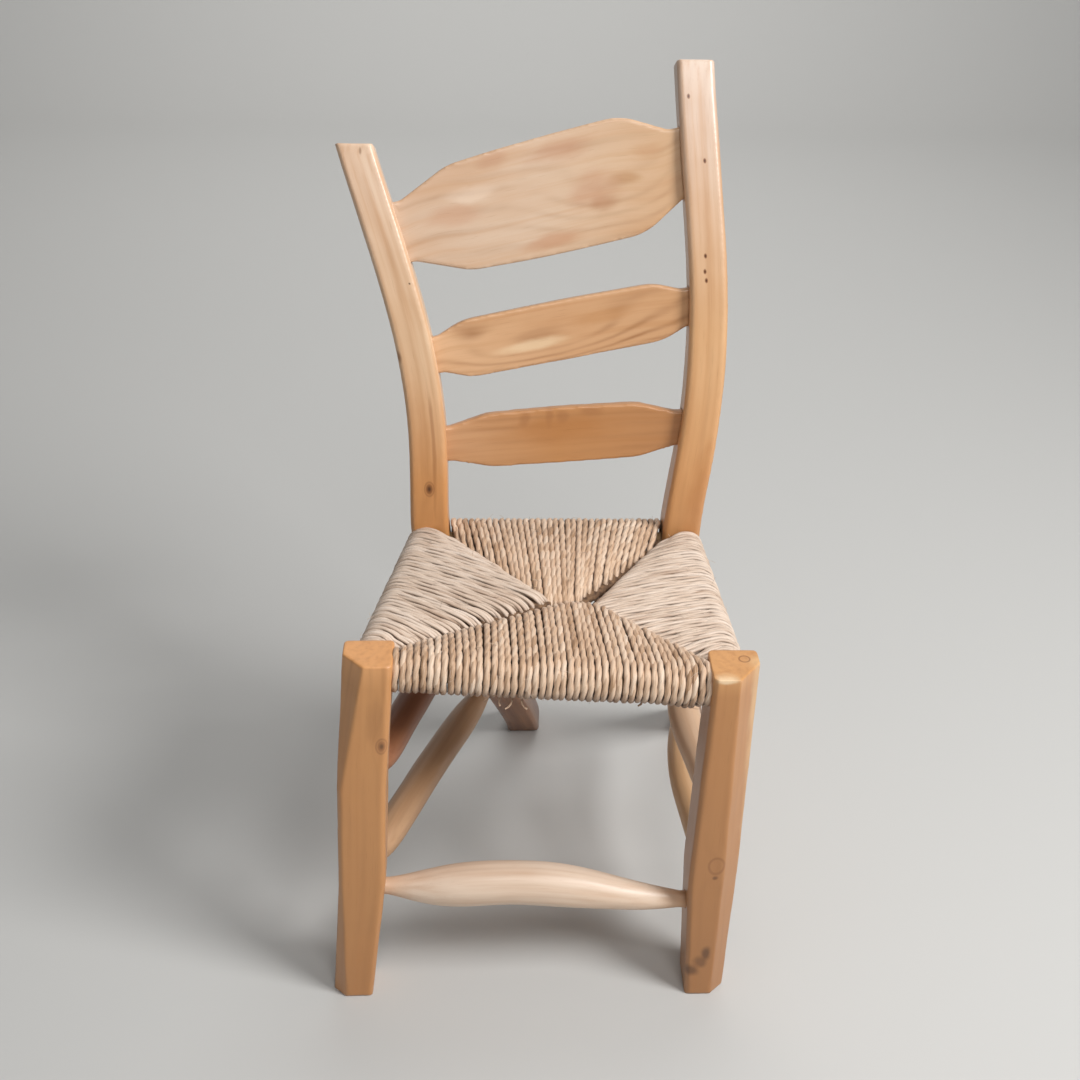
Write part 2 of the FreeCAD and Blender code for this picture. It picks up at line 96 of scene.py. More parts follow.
def sight_line(px, py):
    """Direction in which the camera sees a pixel of the square picture."""
    scale = sensor_width / lens / picture_side
    return (forward + right * ((px - picture_side / 2) * scale)
            - up * ((py - picture_side / 2) * scale)).normalized()


# %% [markdown]
# The studio is plain: a pale floor that runs up into a backdrop, one wide soft lamp from the
# upper right in front, a second one high over the camera that lays a sheen on the varnish, a
# weak one from the left, one overhead, one that lights the backdrop, and an even glow all round.

# %% Colour and node helpers
def linear(hex_colour):
    """An sRGB colour written as six hex digits, as the linear values that shaders use."""
    values = [int(hex_colour[i:i + 2], 16) / 255 for i in (0, 2, 4)]
    return [v / 12.92 if v <= 0.04045 else ((v + 0.055) / 1.055) ** 2.4 for v in values] + [1.0]


def add(tree, kind, links=None, **settings):
    """Adds one node. Links holds its inputs by name or number.

    Each is a socket to join, a node whose first output to join, or a value.
    """
    made = tree.nodes.new(kind)
    for name, value in settings.items():
        setattr(made, name, value)
    for name, value in (links or {}).items():
        if isinstance(value, bpy.types.Node):
            value = value.outputs[0]
        if isinstance(value, bpy.types.NodeSocket):
            tree.links.new(value, made.inputs[name])
        else:
            made.inputs[name].default_value = value
    return made


def new_material(name):
    """A material, its node tree and its shader node."""
    material = bpy.data.materials.new(name)
    material.use_nodes = True
    tree = material.node_tree
    return material, tree, tree.nodes["Principled BSDF"]


# %% The floor
def plain_surface(name, colour, roughness):
    """One even colour, as on a painted floor."""
    material, _, shader = new_material(name)
    shader.inputs["Base Color"].default_value = linear(colour)
    shader.inputs["Roughness"].default_value = roughness
    return material


def backdrop(width, near, far, height, bend, steps):
    """A sheet that lies on the floor, bends up behind the object and stands as a wall."""
    profile = [(near, 0.0)]
    for step in range(steps + 1):
        angle = math.pi / 2 * step / steps
        profile.append((far - bend + bend * math.sin(angle), bend - bend * math.cos(angle)))
    profile.append((far, height))
    vertices = [(side * width / 2, y, z) for y, z in profile for side in (-1, 1)]
    faces = [(2 * i, 2 * i + 1, 2 * i + 3, 2 * i + 2) for i in range(len(profile) - 1)]
    mesh = bpy.data.meshes.new("backdrop")
    mesh.from_pydata(vertices, [], faces)
    for polygon in mesh.polygons:
        polygon.use_smooth = True
    return in_scene("backdrop", mesh)


floor = backdrop(width=14.0, near=-5.0, far=4.5, height=5.0, bend=1.2, steps=24)
floor.data.materials.append(plain_surface("pale_floor", "C9C8C5", 0.8))


# %% The light
def soft_lamp(name, place, target, size, watts):
    """A round lamp that faces a point, with its size across in metres."""
    data = bpy.data.lights.new(name, "AREA")
    data.shape = "DISK"
    data.size = size
    data.energy = watts
    made = in_scene(name, data)
    made.location = place
    made.rotation_mode = "QUATERNION"
    made.rotation_quaternion = (Vector(target) - Vector(place)).to_track_quat("-Z", "Y")


chair_middle = (0, 0, 0.4)
soft_lamp("key", (1.95, -1.35, 2.3), chair_middle, size=1.2, watts=84)
soft_lamp("sheen", (0.3, -2.1, 2.7), chair_middle, size=1.2, watts=24)
soft_lamp("fill", (-2.0, -1.6, 1.3), chair_middle, size=1.6, watts=2)
soft_lamp("top", (0.3, 0.7, 2.6), chair_middle, size=1.3, watts=13)
soft_lamp("wall", (0, 2.2, 3.2), (0, 4.9, 1.0), size=1.6, watts=60)

world = bpy.data.worlds.new("studio")
world.use_nodes = True
glow = world.node_tree.nodes["Background"]
glow.inputs["Color"].default_value = linear("F4F6F8")
glow.inputs["Strength"].default_value = 0.13
bpy.context.scene.world = world
bpy.context.scene.view_settings.view_transform = "Standard"

# %% [markdown]
# ## The sticks
# Hewn wood has no sharp edges: a drawknife leaves flats, and hands wear the corners round.
# The solids have the flats but true sharp corners. A voxel remesh gives every stick an even
# skin of small squares, smoothing takes the corners down, and a little noise along the stick
# stands for the waves that the blade leaves. The solid is then hidden and this skin shown.

# %% A tree that leaves tool marks
def new_tree(name, numbers, counts=()):
    """A tree with a geometry, named numbers, named whole counts and a material as its inputs."""
    tree = bpy.data.node_groups.new(name, "GeometryNodeTree")
    tree.interface.new_socket("Geometry", in_out="INPUT", socket_type="NodeSocketGeometry")
    for kind, parts in (("Float", numbers), ("Int", counts), ("Material", ["Material"])):
        for part in parts:
            tree.interface.new_socket(part, in_out="INPUT", socket_type="NodeSocket" + kind)
    tree.interface.new_socket("Geometry", in_out="OUTPUT", socket_type="NodeSocketGeometry")
    return tree, add(tree, "NodeGroupInput").outputs


def end_tree(tree, geometry, material):
    """Ends a tree with real geometry in its material."""
    real = add(tree, "GeometryNodeRealizeInstances", {0: geometry})
    painted = add(tree, "GeometryNodeSetMaterial", {"Geometry": real, "Material": material})
    add(tree, "NodeGroupOutput", {0: painted})
    print("tree:", tree.name, len(tree.nodes), "nodes")
    return tree


def blade_marks_tree():
    """Moves a skin in and out along its normals by long soft waves."""
    tree, given = new_tree("blade_marks", ("Depth", "Wave length", "Wave width", "Seed"))
    grain = add(tree, "GeometryNodeInputNamedAttribute", {"Name": "grain"}, data_type="FLOAT_VECTOR")
    place = add(tree, "ShaderNodeSeparateXYZ", {0: grain}).outputs
    shares = {}
    for part, size in enumerate(("Wave width", "Wave width", "Wave length")):
        shares[part] = add(tree, "ShaderNodeMath", {0: place[part], 1: given[size]}, operation="DIVIDE")
    spot = add(tree, "ShaderNodeCombineXYZ", shares)
    waves = add(tree, "ShaderNodeTexNoise",
                {"Vector": spot, "W": given["Seed"], "Scale": 1.0, "Detail": 1.0}, noise_dimensions="4D")
    centred = add(tree, "ShaderNodeMath", {0: waves, 1: 0.5}, operation="SUBTRACT")
    height = add(tree, "ShaderNodeMath", {0: centred, 1: given["Depth"]}, operation="MULTIPLY")
    normal = add(tree, "GeometryNodeInputNormal")
    offset = add(tree, "ShaderNodeVectorMath", {0: normal, "Scale": height}, operation="SCALE")
    moved = add(tree, "GeometryNodeSetPosition", {"Geometry": given["Geometry"], "Offset": offset})
    return end_tree(tree, moved, given["Material"])


# %% Using a tree
def set_inputs(modifier, values):
    """Sets a modifier's inputs by the sockets' identifiers."""
    for item in modifier.node_group.interface.items_tree:
        if item.item_type == "SOCKET" and item.in_out == "INPUT" and item.name in values:
            modifier[item.identifier] = values[item.name]


def baked(source, name):
    """A plain mesh object of what an object looks like with its modifiers, at the origin."""
    bpy.context.view_layer.update()
    shape = source.evaluated_get(bpy.context.evaluated_depsgraph_get())
    mesh = bpy.data.meshes.new_from_object(shape, preserve_all_data_layers=True,
                                           depsgraph=bpy.context.evaluated_depsgraph_get())
    made = in_scene(name, mesh)
    bpy.data.objects.remove(source)
    return made


def shaped(source, name, tree, values):
    """What a tree makes of an object, as a plain mesh object."""
    maker = source.modifiers.new("tree", "NODES")
    maker.node_group = tree
    set_inputs(maker, values)
    return baked(source, name)


blade_marks = blade_marks_tree()

# %% [markdown]
# Grain runs along each stick, also round its bends. Every point of a skin therefore gets three
# numbers: how far it is from the middle line sideways, how far in depth, and how far along the
# stick it lies. The middle line is found by slicing the skin and taking each slice's middle.

# %% Skins with a grain direction
def middle_line(points, axis, slices, fewest=8):
    """Places and middles of a stick's slices, square to one axis, where they hold enough points."""
    low, high = points[:, axis].min(), points[:, axis].max()
    edges = np.linspace(low, high, slices + 1)
    levels, middles = [], []
    for start, end in zip(edges, edges[1:]):
        inside = points[(points[:, axis] >= start) & (points[:, axis] <= end)]
        if len(inside) > fewest:
            levels.append((start + end) / 2)
            middles.append((inside.min(0) + inside.max(0)) / 2)
    return np.array(levels), np.array(middles)


def give_grain(mesh, axis, slices=40):
    """Stores each point's grain numbers on a mesh."""
    points = np.empty(len(mesh.vertices) * 3, np.float32)
    mesh.vertices.foreach_get("co", points)
    points = points.reshape(-1, 3)
    levels, middles = middle_line(points, axis, slices)
    steps = np.linalg.norm(np.diff(middles, axis=0), axis=1)
    run = np.concatenate([[0], np.cumsum(steps)])
    others = [i for i in range(3) if i != axis]
    grain = np.empty_like(points)
    for slot, other in enumerate(others):
        grain[:, slot] = points[:, other] - np.interp(points[:, axis], levels, middles[:, other])
    beyond = points[:, axis] - np.clip(points[:, axis], levels[0], levels[-1])
    grain[:, 2] = np.interp(points[:, axis], levels, run) + beyond
    attribute = mesh.attributes.new("grain", "FLOAT_VECTOR", "POINT")
    attribute.data.foreach_set("vector", grain.ravel())


# %% Worn skins
def worn_skin(node, axis, voxel=1.7 * MM, smoothing=8, mesh=None):
    """Copy of a solid, or of a mesh, with an even skin, rounded corners and grain numbers."""
    source = in_scene(node, mesh or solids[node].data.copy())
    shape = bmesh.new()
    shape.from_mesh(source.data)
    bmesh.ops.remove_doubles(shape, verts=shape.verts, dist=0.01 * MM)
    bmesh.ops.recalc_face_normals(shape, faces=shape.faces)
    shape.to_mesh(source.data)
    shape.free()
    source.data.materials.clear()
    remesh = source.modifiers.new("even", "REMESH")
    remesh.mode = "VOXEL"
    remesh.voxel_size = voxel
    remesh.use_smooth_shade = True
    worn = source.modifiers.new("worn", "SMOOTH")
    worn.factor = 0.5
    worn.iterations = smoothing
    skin = baked(source, "skin_" + node)
    give_grain(skin.data, axis)
    return skin


def lumpy(skin, name, material, depth, wave_length, wave_width, seed):
    """A skin with its waves, in millimetres, and its finish."""
    piece = shaped(skin, name, blade_marks, {
        "Depth": depth * MM, "Wave length": wave_length * MM, "Wave width": wave_width * MM,
        "Seed": float(seed), "Material": material})
    piece.data.polygons.foreach_set("use_smooth", [True] * len(piece.data.polygons))
    return piece


def stand_for(piece, node):
    """Keeps a piece inside its solid's box and shows it in the solid's place."""
    places = np.empty(len(piece.data.vertices) * 3, np.float32)
    piece.data.vertices.foreach_get("co", places)
    low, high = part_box(node)
    places = np.clip(places.reshape(-1, 3), np.array(low), np.array(high))
    piece.data.vertices.foreach_set("co", places.ravel())
    piece.data.update()
    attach(piece, "root")
    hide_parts(node)
    print(piece.name, "faces:", len(piece.data.polygons))


# %% [markdown]
# The marks that make each stick its own are knots, cracks and stains. Each is named by the place
# where the camera sees it, and a ray from the camera finds the same place on the skin, so the
# mark sits in the wood from every side.

# %% Finding marks on a skin
# Where a sight line just misses a skin, the skin's nearest point at this distance in metres serves.
usual_distance = 1.5


def marks_on(skin, marks):
    """Marks listed by the pixel where they are seen, with the grain numbers there in its place."""
    mesh = skin.data
    points = [v.co for v in mesh.vertices]
    finder = BVHTree.FromPolygons(points, [tuple(p.vertices) for p in mesh.polygons])
    placed = []
    for pixel, *rest in marks:
        ray = sight_line(*pixel)
        hit, _, face, _ = finder.ray_cast(eye, ray)
        if hit is None:
            hit, _, face, _ = finder.find_nearest(eye + ray * usual_distance)
        corner = min(mesh.polygons[face].vertices, key=lambda v: (points[v] - hit).length)
        placed.append((Vector(mesh.attributes["grain"].data[corner].vector), *rest))
    return placed


# %% [markdown]
# ## Varnished wood
# The wood is a dense pale hardwood. In it, growth rings run round a heart that lies outside the
# stick, so the faces show soft streaks and, where the cut meets the rings at a flat angle, wide
# arches. The rings bend round a knot. Over that lie blotches of warmer colour, fine pores along
# the grain, and a thin glossy varnish that deepens the colour in the hollows.

# %% Colours of a finish
def mixed(tree, first, second, share):
    """Blend of two colours, each a socket or an sRGB hex."""
    blend = add(tree, "ShaderNodeMix", {"Factor": share}, data_type="RGBA")
    for socket, colour in zip((blend.inputs[6], blend.inputs[7]), (first, second)):
        if isinstance(colour, str):
            socket.default_value = linear(colour)
        else:
            tree.links.new(colour, socket)
    return blend.outputs[2]


def ramp_of(tree, value, stops, low=0.0, high=1.0):
    """Colours along a value, each stop a value and an sRGB hex."""
    share = value
    if (low, high) != (0.0, 1.0):
        share = add(tree, "ShaderNodeMapRange", {"Value": value, "From Min": low, "From Max": high})
    ramp = add(tree, "ShaderNodeValToRGB", {0: share})
    elements = ramp.color_ramp.elements
    for number, (at, colour) in enumerate(stops):
        spot = (at - low) / (high - low)
        element = elements[number] if number < 2 else elements.new(spot)
        element.position = spot
        element.color = linear(colour)
    return ramp.outputs[0]


# %% Relief and patterns of a finish
def surface(tree, shader, colour, relief, strength, relief_depth, values):
    """Ends a finish with its colour, a relief whose depth is in millimetres, and its plain values."""
    tree.links.new(colour, shader.inputs["Base Color"])
    bump = add(tree, "ShaderNodeBump", {"Height": relief, "Strength": strength,
                                        "Distance": relief_depth * MM})
    tree.links.new(bump.outputs[0], shader.inputs["Normal"])
    for name, value in values.items():
        shader.inputs[name].default_value = value


def stretched_noise(tree, place, per_metre, detail=2.0):
    """Noise over places, with its own number of waves per metre in each direction."""
    spot = add(tree, "ShaderNodeVectorMath", {0: place, 1: per_metre}, operation="MULTIPLY")
    return add(tree, "ShaderNodeTexNoise", {"Vector": spot, "Scale": 1.0, "Detail": detail})


def faded(tree, value, low, high, start, end, kind="SMOOTHSTEP"):
    """A value's way from low to high, as a share that goes from start to end."""
    return add(tree, "ShaderNodeMapRange", {"Value": value, "From Min": low, "From Max": high,
                                            "To Min": start, "To Max": end}, interpolation_type=kind)


def distance_from(tree, place, spot, stretch, torn=None):
    """How far places are from a spot, with each direction stretched and, if asked, torn edges."""
    way = add(tree, "ShaderNodeVectorMath", {0: place, 1: spot}, operation="SUBTRACT")
    way = add(tree, "ShaderNodeVectorMath", {0: way, 1: stretch}, operation="MULTIPLY")
    if torn is not None:
        way = add(tree, "ShaderNodeVectorMath", {0: way, 1: torn}, operation="ADD")
        way = add(tree, "ShaderNodeVectorMath", {0: way, 1: (0.5, 0.5, 0.5)}, operation="SUBTRACT")
    return add(tree, "ShaderNodeVectorMath", {0: way}, operation="LENGTH").outputs["Value"]


# %% The wood's finish
def wood(name, base, warm, dark, heart, ring_width, knots=(), patches=(), blotch=0.35,
         ring_strength=0.22, roughness=0.4, coat=0.35, knot_length=1.6, ring_sway=22.0):
    """Varnished hardwood whose rings run round a heart line beside the stick.

    Base is one colour or stops of millimetres along the stick and a colour. Knots are (place, radius,
    lift, darkness), with a darkness below zero for a ringed one. Patches are (place, reach across,
    reach along, colour, strength). Knot length is how much longer a knot is along the stick than
    across it, and ring sway how far the rings wander.
    """
    material, tree, shader = new_material(name)
    place = add(tree, "ShaderNodeAttribute", attribute_name="grain").outputs["Vector"]

    # Distance from the heart line, with slow waves in it along the stick.
    radius = distance_from(tree, place, (heart[0] * MM, heart[1] * MM, 0), (1, 1, 0))
    sway = stretched_noise(tree, place, (14, 14, 3.2))
    ring_place = add(tree, "ShaderNodeMath", {0: sway, 1: ring_sway * MM, 2: radius},
                     operation="MULTIPLY_ADD")

    # Each knot lifts the rings over it. A dark one has a reddish rim and a dark core, a ringed one
    # only a thin line round it.
    rim = core = 0.0
    for spot, size, lift, darkness in knots:
        far = distance_from(tree, place, spot, (1, 1, 1 / knot_length))
        ratio = add(tree, "ShaderNodeMath", {0: far, 1: size * MM}, operation="DIVIDE")
        square = add(tree, "ShaderNodeMath", {0: ratio, 1: 2.0}, operation="POWER")
        minus = add(tree, "ShaderNodeMath", {0: square, 1: -0.22}, operation="MULTIPLY")
        bell = add(tree, "ShaderNodeMath", {0: minus}, operation="EXPONENT")
        ring_place = add(tree, "ShaderNodeMath", {0: bell, 1: lift * MM, 2: ring_place},
                         operation="MULTIPLY_ADD")
        if darkness < 0:
            inside = faded(tree, ratio, 0.72, 0.95, 0.15 * -darkness, -darkness)
            outside = faded(tree, ratio, 1.0, 1.25, 1.0, 0.0)
            own_rim = add(tree, "ShaderNodeMath", {0: inside, 1: outside}, operation="MULTIPLY")
        else:
            own_rim = faded(tree, ratio, 0.7, 1.4, darkness, 0.0)
        own_core = faded(tree, ratio, 0.15, 0.8, max(0.0, darkness), 0.0)
        rim = add(tree, "ShaderNodeMath", {0: rim, 1: own_rim}, operation="MAXIMUM")
        core = add(tree, "ShaderNodeMath", {0: core, 1: own_core}, operation="MAXIMUM")

    # Rings: a soft saw, wider and narrower by turns.
    turns = add(tree, "ShaderNodeMath", {0: ring_place, 1: 2 * math.pi / (ring_width * MM)},
                operation="MULTIPLY")
    wave = add(tree, "ShaderNodeMath", {0: turns}, operation="SINE")
    wave_up = faded(tree, wave, -1.0, 1.0, 0.0, 1.0, "LINEAR")
    late = add(tree, "ShaderNodeMath", {0: wave_up, 1: 2.4}, operation="POWER")
    uneven = faded(tree, stretched_noise(tree, place, (60, 60, 9)), 0.35, 0.7, 0.0, 1.0, "LINEAR")
    rings = add(tree, "ShaderNodeMath", {0: late, 1: uneven}, operation="MULTIPLY")

    # Fine pores, drawn 0.8 mm wide and 25 mm long, warm blotches and long streaks.
    pores = stretched_noise(tree, place, (1250, 1250, 40))
    blotches = stretched_noise(tree, place, (26, 26, 7), 3.0)
    streaks = stretched_noise(tree, place, (190, 190, 3.5), 3.0)
    colour = base
    if not isinstance(base, str):
        run = add(tree, "ShaderNodeSeparateXYZ", {0: place}).outputs[2]
        stops = [(at * MM, tone) for at, tone in base]
        colour = ramp_of(tree, run, stops, stops[0][0], stops[-1][0])
    colour = mixed(tree, colour, warm, faded(tree, blotches, 0.38, 0.72, 0.0, blotch))
    colour = mixed(tree, colour, warm, faded(tree, streaks, 0.42, 0.75, 0.0, 0.35))
    ring_share = add(tree, "ShaderNodeMath", {0: rings, 1: ring_strength}, operation="MULTIPLY")
    colour = mixed(tree, colour, dark, ring_share)

    # Patches of another tone, with torn edges.
    torn = stretched_noise(tree, place, (75, 75, 30), 3.0).outputs["Color"]
    for spot, across, along, tint, strength in patches:
        far = distance_from(tree, place, spot, (1000 / across, 1000 / across, 1000 / along), torn)
        colour = mixed(tree, colour, tint, faded(tree, far, 0.3, 1.2, strength, 0.0))
    colour = mixed(tree, colour, dark, faded(tree, pores, 0.6, 0.8, 0.0, 0.22))
    colour = mixed(tree, colour, "7E4A26", rim)
    colour = mixed(tree, colour, "3C2211", core)

    # Varnish: even gloss from a coat, with the pores and rings just felt under it.
    relief = add(tree, "ShaderNodeMath", {0: pores, 1: 0.6, 2: rings}, operation="MULTIPLY_ADD")
    surface(tree, shader, colour, relief, strength=0.14, relief_depth=0.25, values={
        "Roughness": roughness, "Coat Weight": coat, "Coat Roughness": 0.26, "IOR": 1.5})
    return material


# %% One stick
def stick(node, name, axis, smoothing, slot, waves, finish, knots=(), patches=(), **look):
    """One stick: a worn skin with its marks, its finish and its tool marks, shown for its solid.

    Waves are the depth, length and width of the tool marks in millimetres, and their seed. Knots and
    patches are listed by pixels, and look holds what wood() takes besides them.
    """
    skin = worn_skin(node, axis, smoothing=smoothing)
    material = wood(finish, knots=marks_on(skin, knots), patches=marks_on(skin, patches), **look)
    stand_for(lumpy(skin, name, material, *waves), node)


# %% [markdown]
# ## Front legs
# Each front leg is a square billet with its corners hewn off. The left one has one wide flat that
# narrows to nothing above the stretcher, the right one a flat along its whole outer corner. Marks
# are listed by the pixel where the camera sees them.

# %% Front legs
leg_look = {"axis": 2, "smoothing": 3, "slot": "varnished_wood", "ring_strength": 0.14}
leg_left_knots = [((382, 747), 5.2, 9, -0.4), ((382, 747), 3.8, 0, 0.55)]
leg_left_patches = [((375, 722), 9, 30, "A06C3C", 0.4)]
leg_right_knots = [((717, 866), 7.5, 10, -0.4), ((745, 659), 5.0, 6, -0.7)]
# Painted light: a highlight along the top front edge and two long pale stripes of light down the outer
# flat.
leg_right_marks_and_painted_light = [
    ((692, 970), 8, 9, "5C3A20", 0.75), ((700, 962), 8, 8, "5C3A20", 0.6),
    ((707, 953), 6, 10, "5C3A20", 0.8), ((716, 878), 3, 3, "6E4526", 0.8),
    ((728, 682), 12, 3.5, "F6DDB6", 0.7), ((756, 700), 14, 120, "E3BE8E", 0.55),
    ((742, 830), 12, 110, "DDB98C", 0.5)]
stick("front_leg_left", "leg_front_left", waves=(1.6, 60, 40, 3), finish="honey_wood_leg_left",
      base=[(0, "BA8350"), (372, "CB9159"), (392, "DDA067")], warm="B97D48", dark="8E5A2C",
      heart=(-70, 52), ring_width=10.0, knots=leg_left_knots, patches=leg_left_patches, **leg_look)
stick("front_leg_right", "leg_front_right", waves=(1.6, 60, 40, 8), finish="honey_wood_leg_right",
      base=[(0, "A97547"), (362, "BB834F"), (382, "D29A62")], warm="AE7542", dark="865226",
      heart=(82, 58), ring_width=11.0, knot_length=1.3,
      knots=leg_right_knots, patches=leg_right_marks_and_painted_light, **leg_look)

# %% [markdown]
# ## Rear posts
# Each rear post is one bent stick from the floor to its top. The right one carries a row of
# small insect holes, the left one a small knot just over the seat and a crack in its top.

# %% Rear posts
post_look = {"axis": 2, "smoothing": 4, "slot": "varnished_wood", "ring_width": 9.0, "dark": "96602F"}
post_left_knots = [((429, 489), 4.8, 5, -0.4), ((429, 489), 3.4, 0, 0.8)]
post_left_patches = [
    ((433, 450), 2.5, 80, "9A5F30", 0.5), ((424, 440), 7, 90, "B87C44", 0.3),
    ((360, 150), 1.5, 8, "7A4E2A", 0.6), ((409, 284), 1.2, 1.2, "4A2C16", 0.9),
    ((397, 358), 3, 7, "7E4A26", 0.6)]
insect_holes = [(705, 161), (705, 256), (705.5, 271), (705.5, 281), (688, 96)]
post_right_patches = [((700, 500), 16, 60, "B97A44", 0.5)]
# The posts darken towards the foot: painted shade from the seat. Their pale tops are partly painted sheen.
stick("back_post_left", "post_back_left", waves=(1.6, 90, 40, 12), finish="honey_wood_post_left",
      base=[(0, "6A3C24"), (330, "AE7644"), (500, "D5985E"), (650, "E8C6A2"), (800, "E8CBB0")],
      warm="C08652", heart=(45, 60), knots=post_left_knots, patches=post_left_patches, **post_look)
stick("back_post_right", "post_back_right", waves=(1.6, 90, 40, 17), finish="honey_wood_post_right",
      base=[(0, "8A5E3A"), (330, "B47A48"), (500, "D59E69"), (650, "DCB083"), (860, "DAC3B0")],
      warm="BE8550", heart=(-50, 55), knots=[(pixel, 1.4, 0, 0.9) for pixel in insect_holes],
      patches=post_right_patches, **post_look)

# %% [markdown]
# ## Slats
# The three slats are riven boards. The widest has smoky pinkish patches and a swirl by its right
# end, the middle one shows wide arches, and the lowest one bands of curly grain.

# %% Slats
slat_look = {"axis": 0, "smoothing": 10, "slot": "varnished_wood"}
top_knots = [((606, 196), 20, 30, 0.0)]
top_patches = [
    ((560, 150), 12, 34, "B57C58", 0.45), ((604, 202), 11, 17, "A4693C", 0.45),
    ((625, 178), 8, 18, "B07A42", 0.45), ((554, 240), 9, 34, "BC825A", 0.55),
    ((455, 215), 14, 30, "C39070", 0.4), ((492, 160), 10, 20, "B98562", 0.45),
    ((650, 150), 8, 22, "B98050", 0.3), ((590, 190), 20, 30, "BA8260", 0.4),
    ((470, 195), 9, 30, "EBD3BC", 0.45)]
middle_knots = [((540, 344), 13, 34, 0.0)]
middle_patches = [((532, 345), 7, 42, "EFD3AC", 0.6), ((600, 316), 8, 34, "BC844E", 0.4)]
bottom_patches = [
    ((560, 430), 16, 60, "B5773E", 0.5), ((524, 419), 9, 7, "A36C40", 0.5),
    ((549, 416), 12, 5, "A36C40", 0.5), ((563, 415), 8, 8, "A36C40", 0.5),
    ((592, 411), 7, 14, "A36C40", 0.5)]
stick("top_slat", "slat_top", waves=(1.4, 80, 50, 21), finish="honey_wood_slat_top",
      base=[(0, "D2B398"), (150, "D6B99E"), (320, "CFA67C")], warm="C4946A", dark="986840",
      heart=(80, -160), ring_width=12.0, knots=top_knots, patches=top_patches, blotch=0.5,
      ring_strength=0.3, **slat_look)
stick("middle_slat", "slat_middle", waves=(1.4, 80, 50, 25), finish="honey_wood_slat_middle",
      base=[(0, "E0B58C"), (130, "D3A47A"), (280, "D0A074")], warm="BD8654", dark="8E592D",
      heart=(60, -90), ring_width=9.0, knots=middle_knots, patches=middle_patches,
      ring_strength=0.6, knot_length=4.5, ring_sway=7.0, **slat_look)
stick("bottom_slat", "slat_bottom", waves=(1.4, 80, 50, 28), finish="honey_wood_slat_bottom",
      base=[(0, "D0A076"), (120, "C48C58"), (280, "B98457")], warm="B27743", dark="84502A",
      heart=(60, -60), ring_width=8.0, patches=bottom_patches, **slat_look)

# %% [markdown]
# ## Stretchers
# The stretchers are branches, peeled and shaved thin at their ends. Their wood is paler than
# that of the posts, and the blade has left long narrow flats on them.

# %% Stretchers
front_tones = [(8, "D2AE8E"), (40, "E2CAB4"), (280, "E2CAB4"), (312, "CFA27A")]
stretchers = [
    ("front_stretcher", "stretcher_front", 0, front_tones, "CBA382", "A47A56", 31),
    # Painted shade: the left stretchers are darker and browner, as they lie under the seat.
    ("lower_left_stretcher", "stretcher_left_lower", 1, "BF9874", "A87C58", "7C5534", 34),
    ("upper_left_stretcher", "stretcher_left_upper", 1, "A36C4A", "8A5338", "5E3620", 37),
    ("lower_right_stretcher", "stretcher_right_lower", 1, "DDB78D", "C99A6C", "9A6A40", 41),
    ("upper_right_stretcher", "stretcher_right_upper", 1, "E2C1A2", "D0A581", "A2724C", 44),
    ("back_stretcher", "stretcher_back", 0, "D9B083", "C39263", "94633B", 47),
]
for node, name, axis, base, warm, dark, seed in stretchers:
    stick(node, name, axis, smoothing=3, slot="pale_wood", waves=(2.2, 110, 16, seed),
          finish="shaved_wood_" + name, base=base, warm=warm, dark=dark, heart=(30, 20),
          ring_width=7.0, blotch=0.6, ring_strength=0.18, roughness=0.45, coat=0.15)

# %% [markdown]
# The four seat rails lie inside the rush and are never varnished. Their solids stay as they are
# and only get a plain wood finish, read from the object's own coordinates.

# %% Seat rails
def raw_wood(name, axis):
    """Bare wood whose fibres run along one of the object's own directions."""
    material, tree, shader = new_material(name)
    spot = add(tree, "ShaderNodeTexCoord").outputs["Object"]
    per_metre = [220, 220, 220]
    per_metre[axis] = 12
    streaks = stretched_noise(tree, spot, per_metre, 3.0)
    colour = ramp_of(tree, streaks, [(0.3, "A9825A"), (0.7, "CBA87C")])
    surface(tree, shader, colour, streaks, strength=0.3, relief_depth=0.3, values={"Roughness": 0.7})
    return material


rail_axes = {"front_seat_rail": 0, "back_seat_rail": 0, "left_seat_rail": 1, "right_seat_rail": 1}
for node, axis in rail_axes.items():
    solids[node].data.materials.clear()
    solids[node].data.materials.append(raw_wood("raw_wood_" + node, axis))

# %% [markdown]
# ## The rush seat
# A rush seat is one long cord. It is twisted by hand from wet leaves and wound over one rail,
# back up through the middle, over the next rail, and so on round the frame. That leaves four
# fields whose cords meet along seams from the corners to a short line in the middle. Here each
# field is a fan of guide lines over its own rail. A tree lays two or three strands round each
# guide and twists them, so the same rule makes about 150 cords.

# %% Lines of the seat
# Half the seat's thickness between its rails, and how far a cord stops short of its seam. Below
# zero it reaches past. The centre points are the ends of the short line in the middle.
rush_half_height = 15.0 * MM
seam_inset = -0.5 * MM
centre_left = Vector((-6.17, -106.1, 0)) * MM
centre_right = Vector((20.83, -106.1, 0)) * MM


def rail_line(node):
    """Both ends of a rail's middle line."""
    axis = rail_axes[node]
    points = np.array([v.co for v in solids[node].data.vertices], float)
    levels, middles = middle_line(points, axis, 12)
    slope = (middles[-2] - middles[1]) / (levels[-2] - levels[1])
    ends = points[:, axis].min(), points[:, axis].max()
    return [Vector(middles[1] + slope * (end - levels[1])) for end in ends]


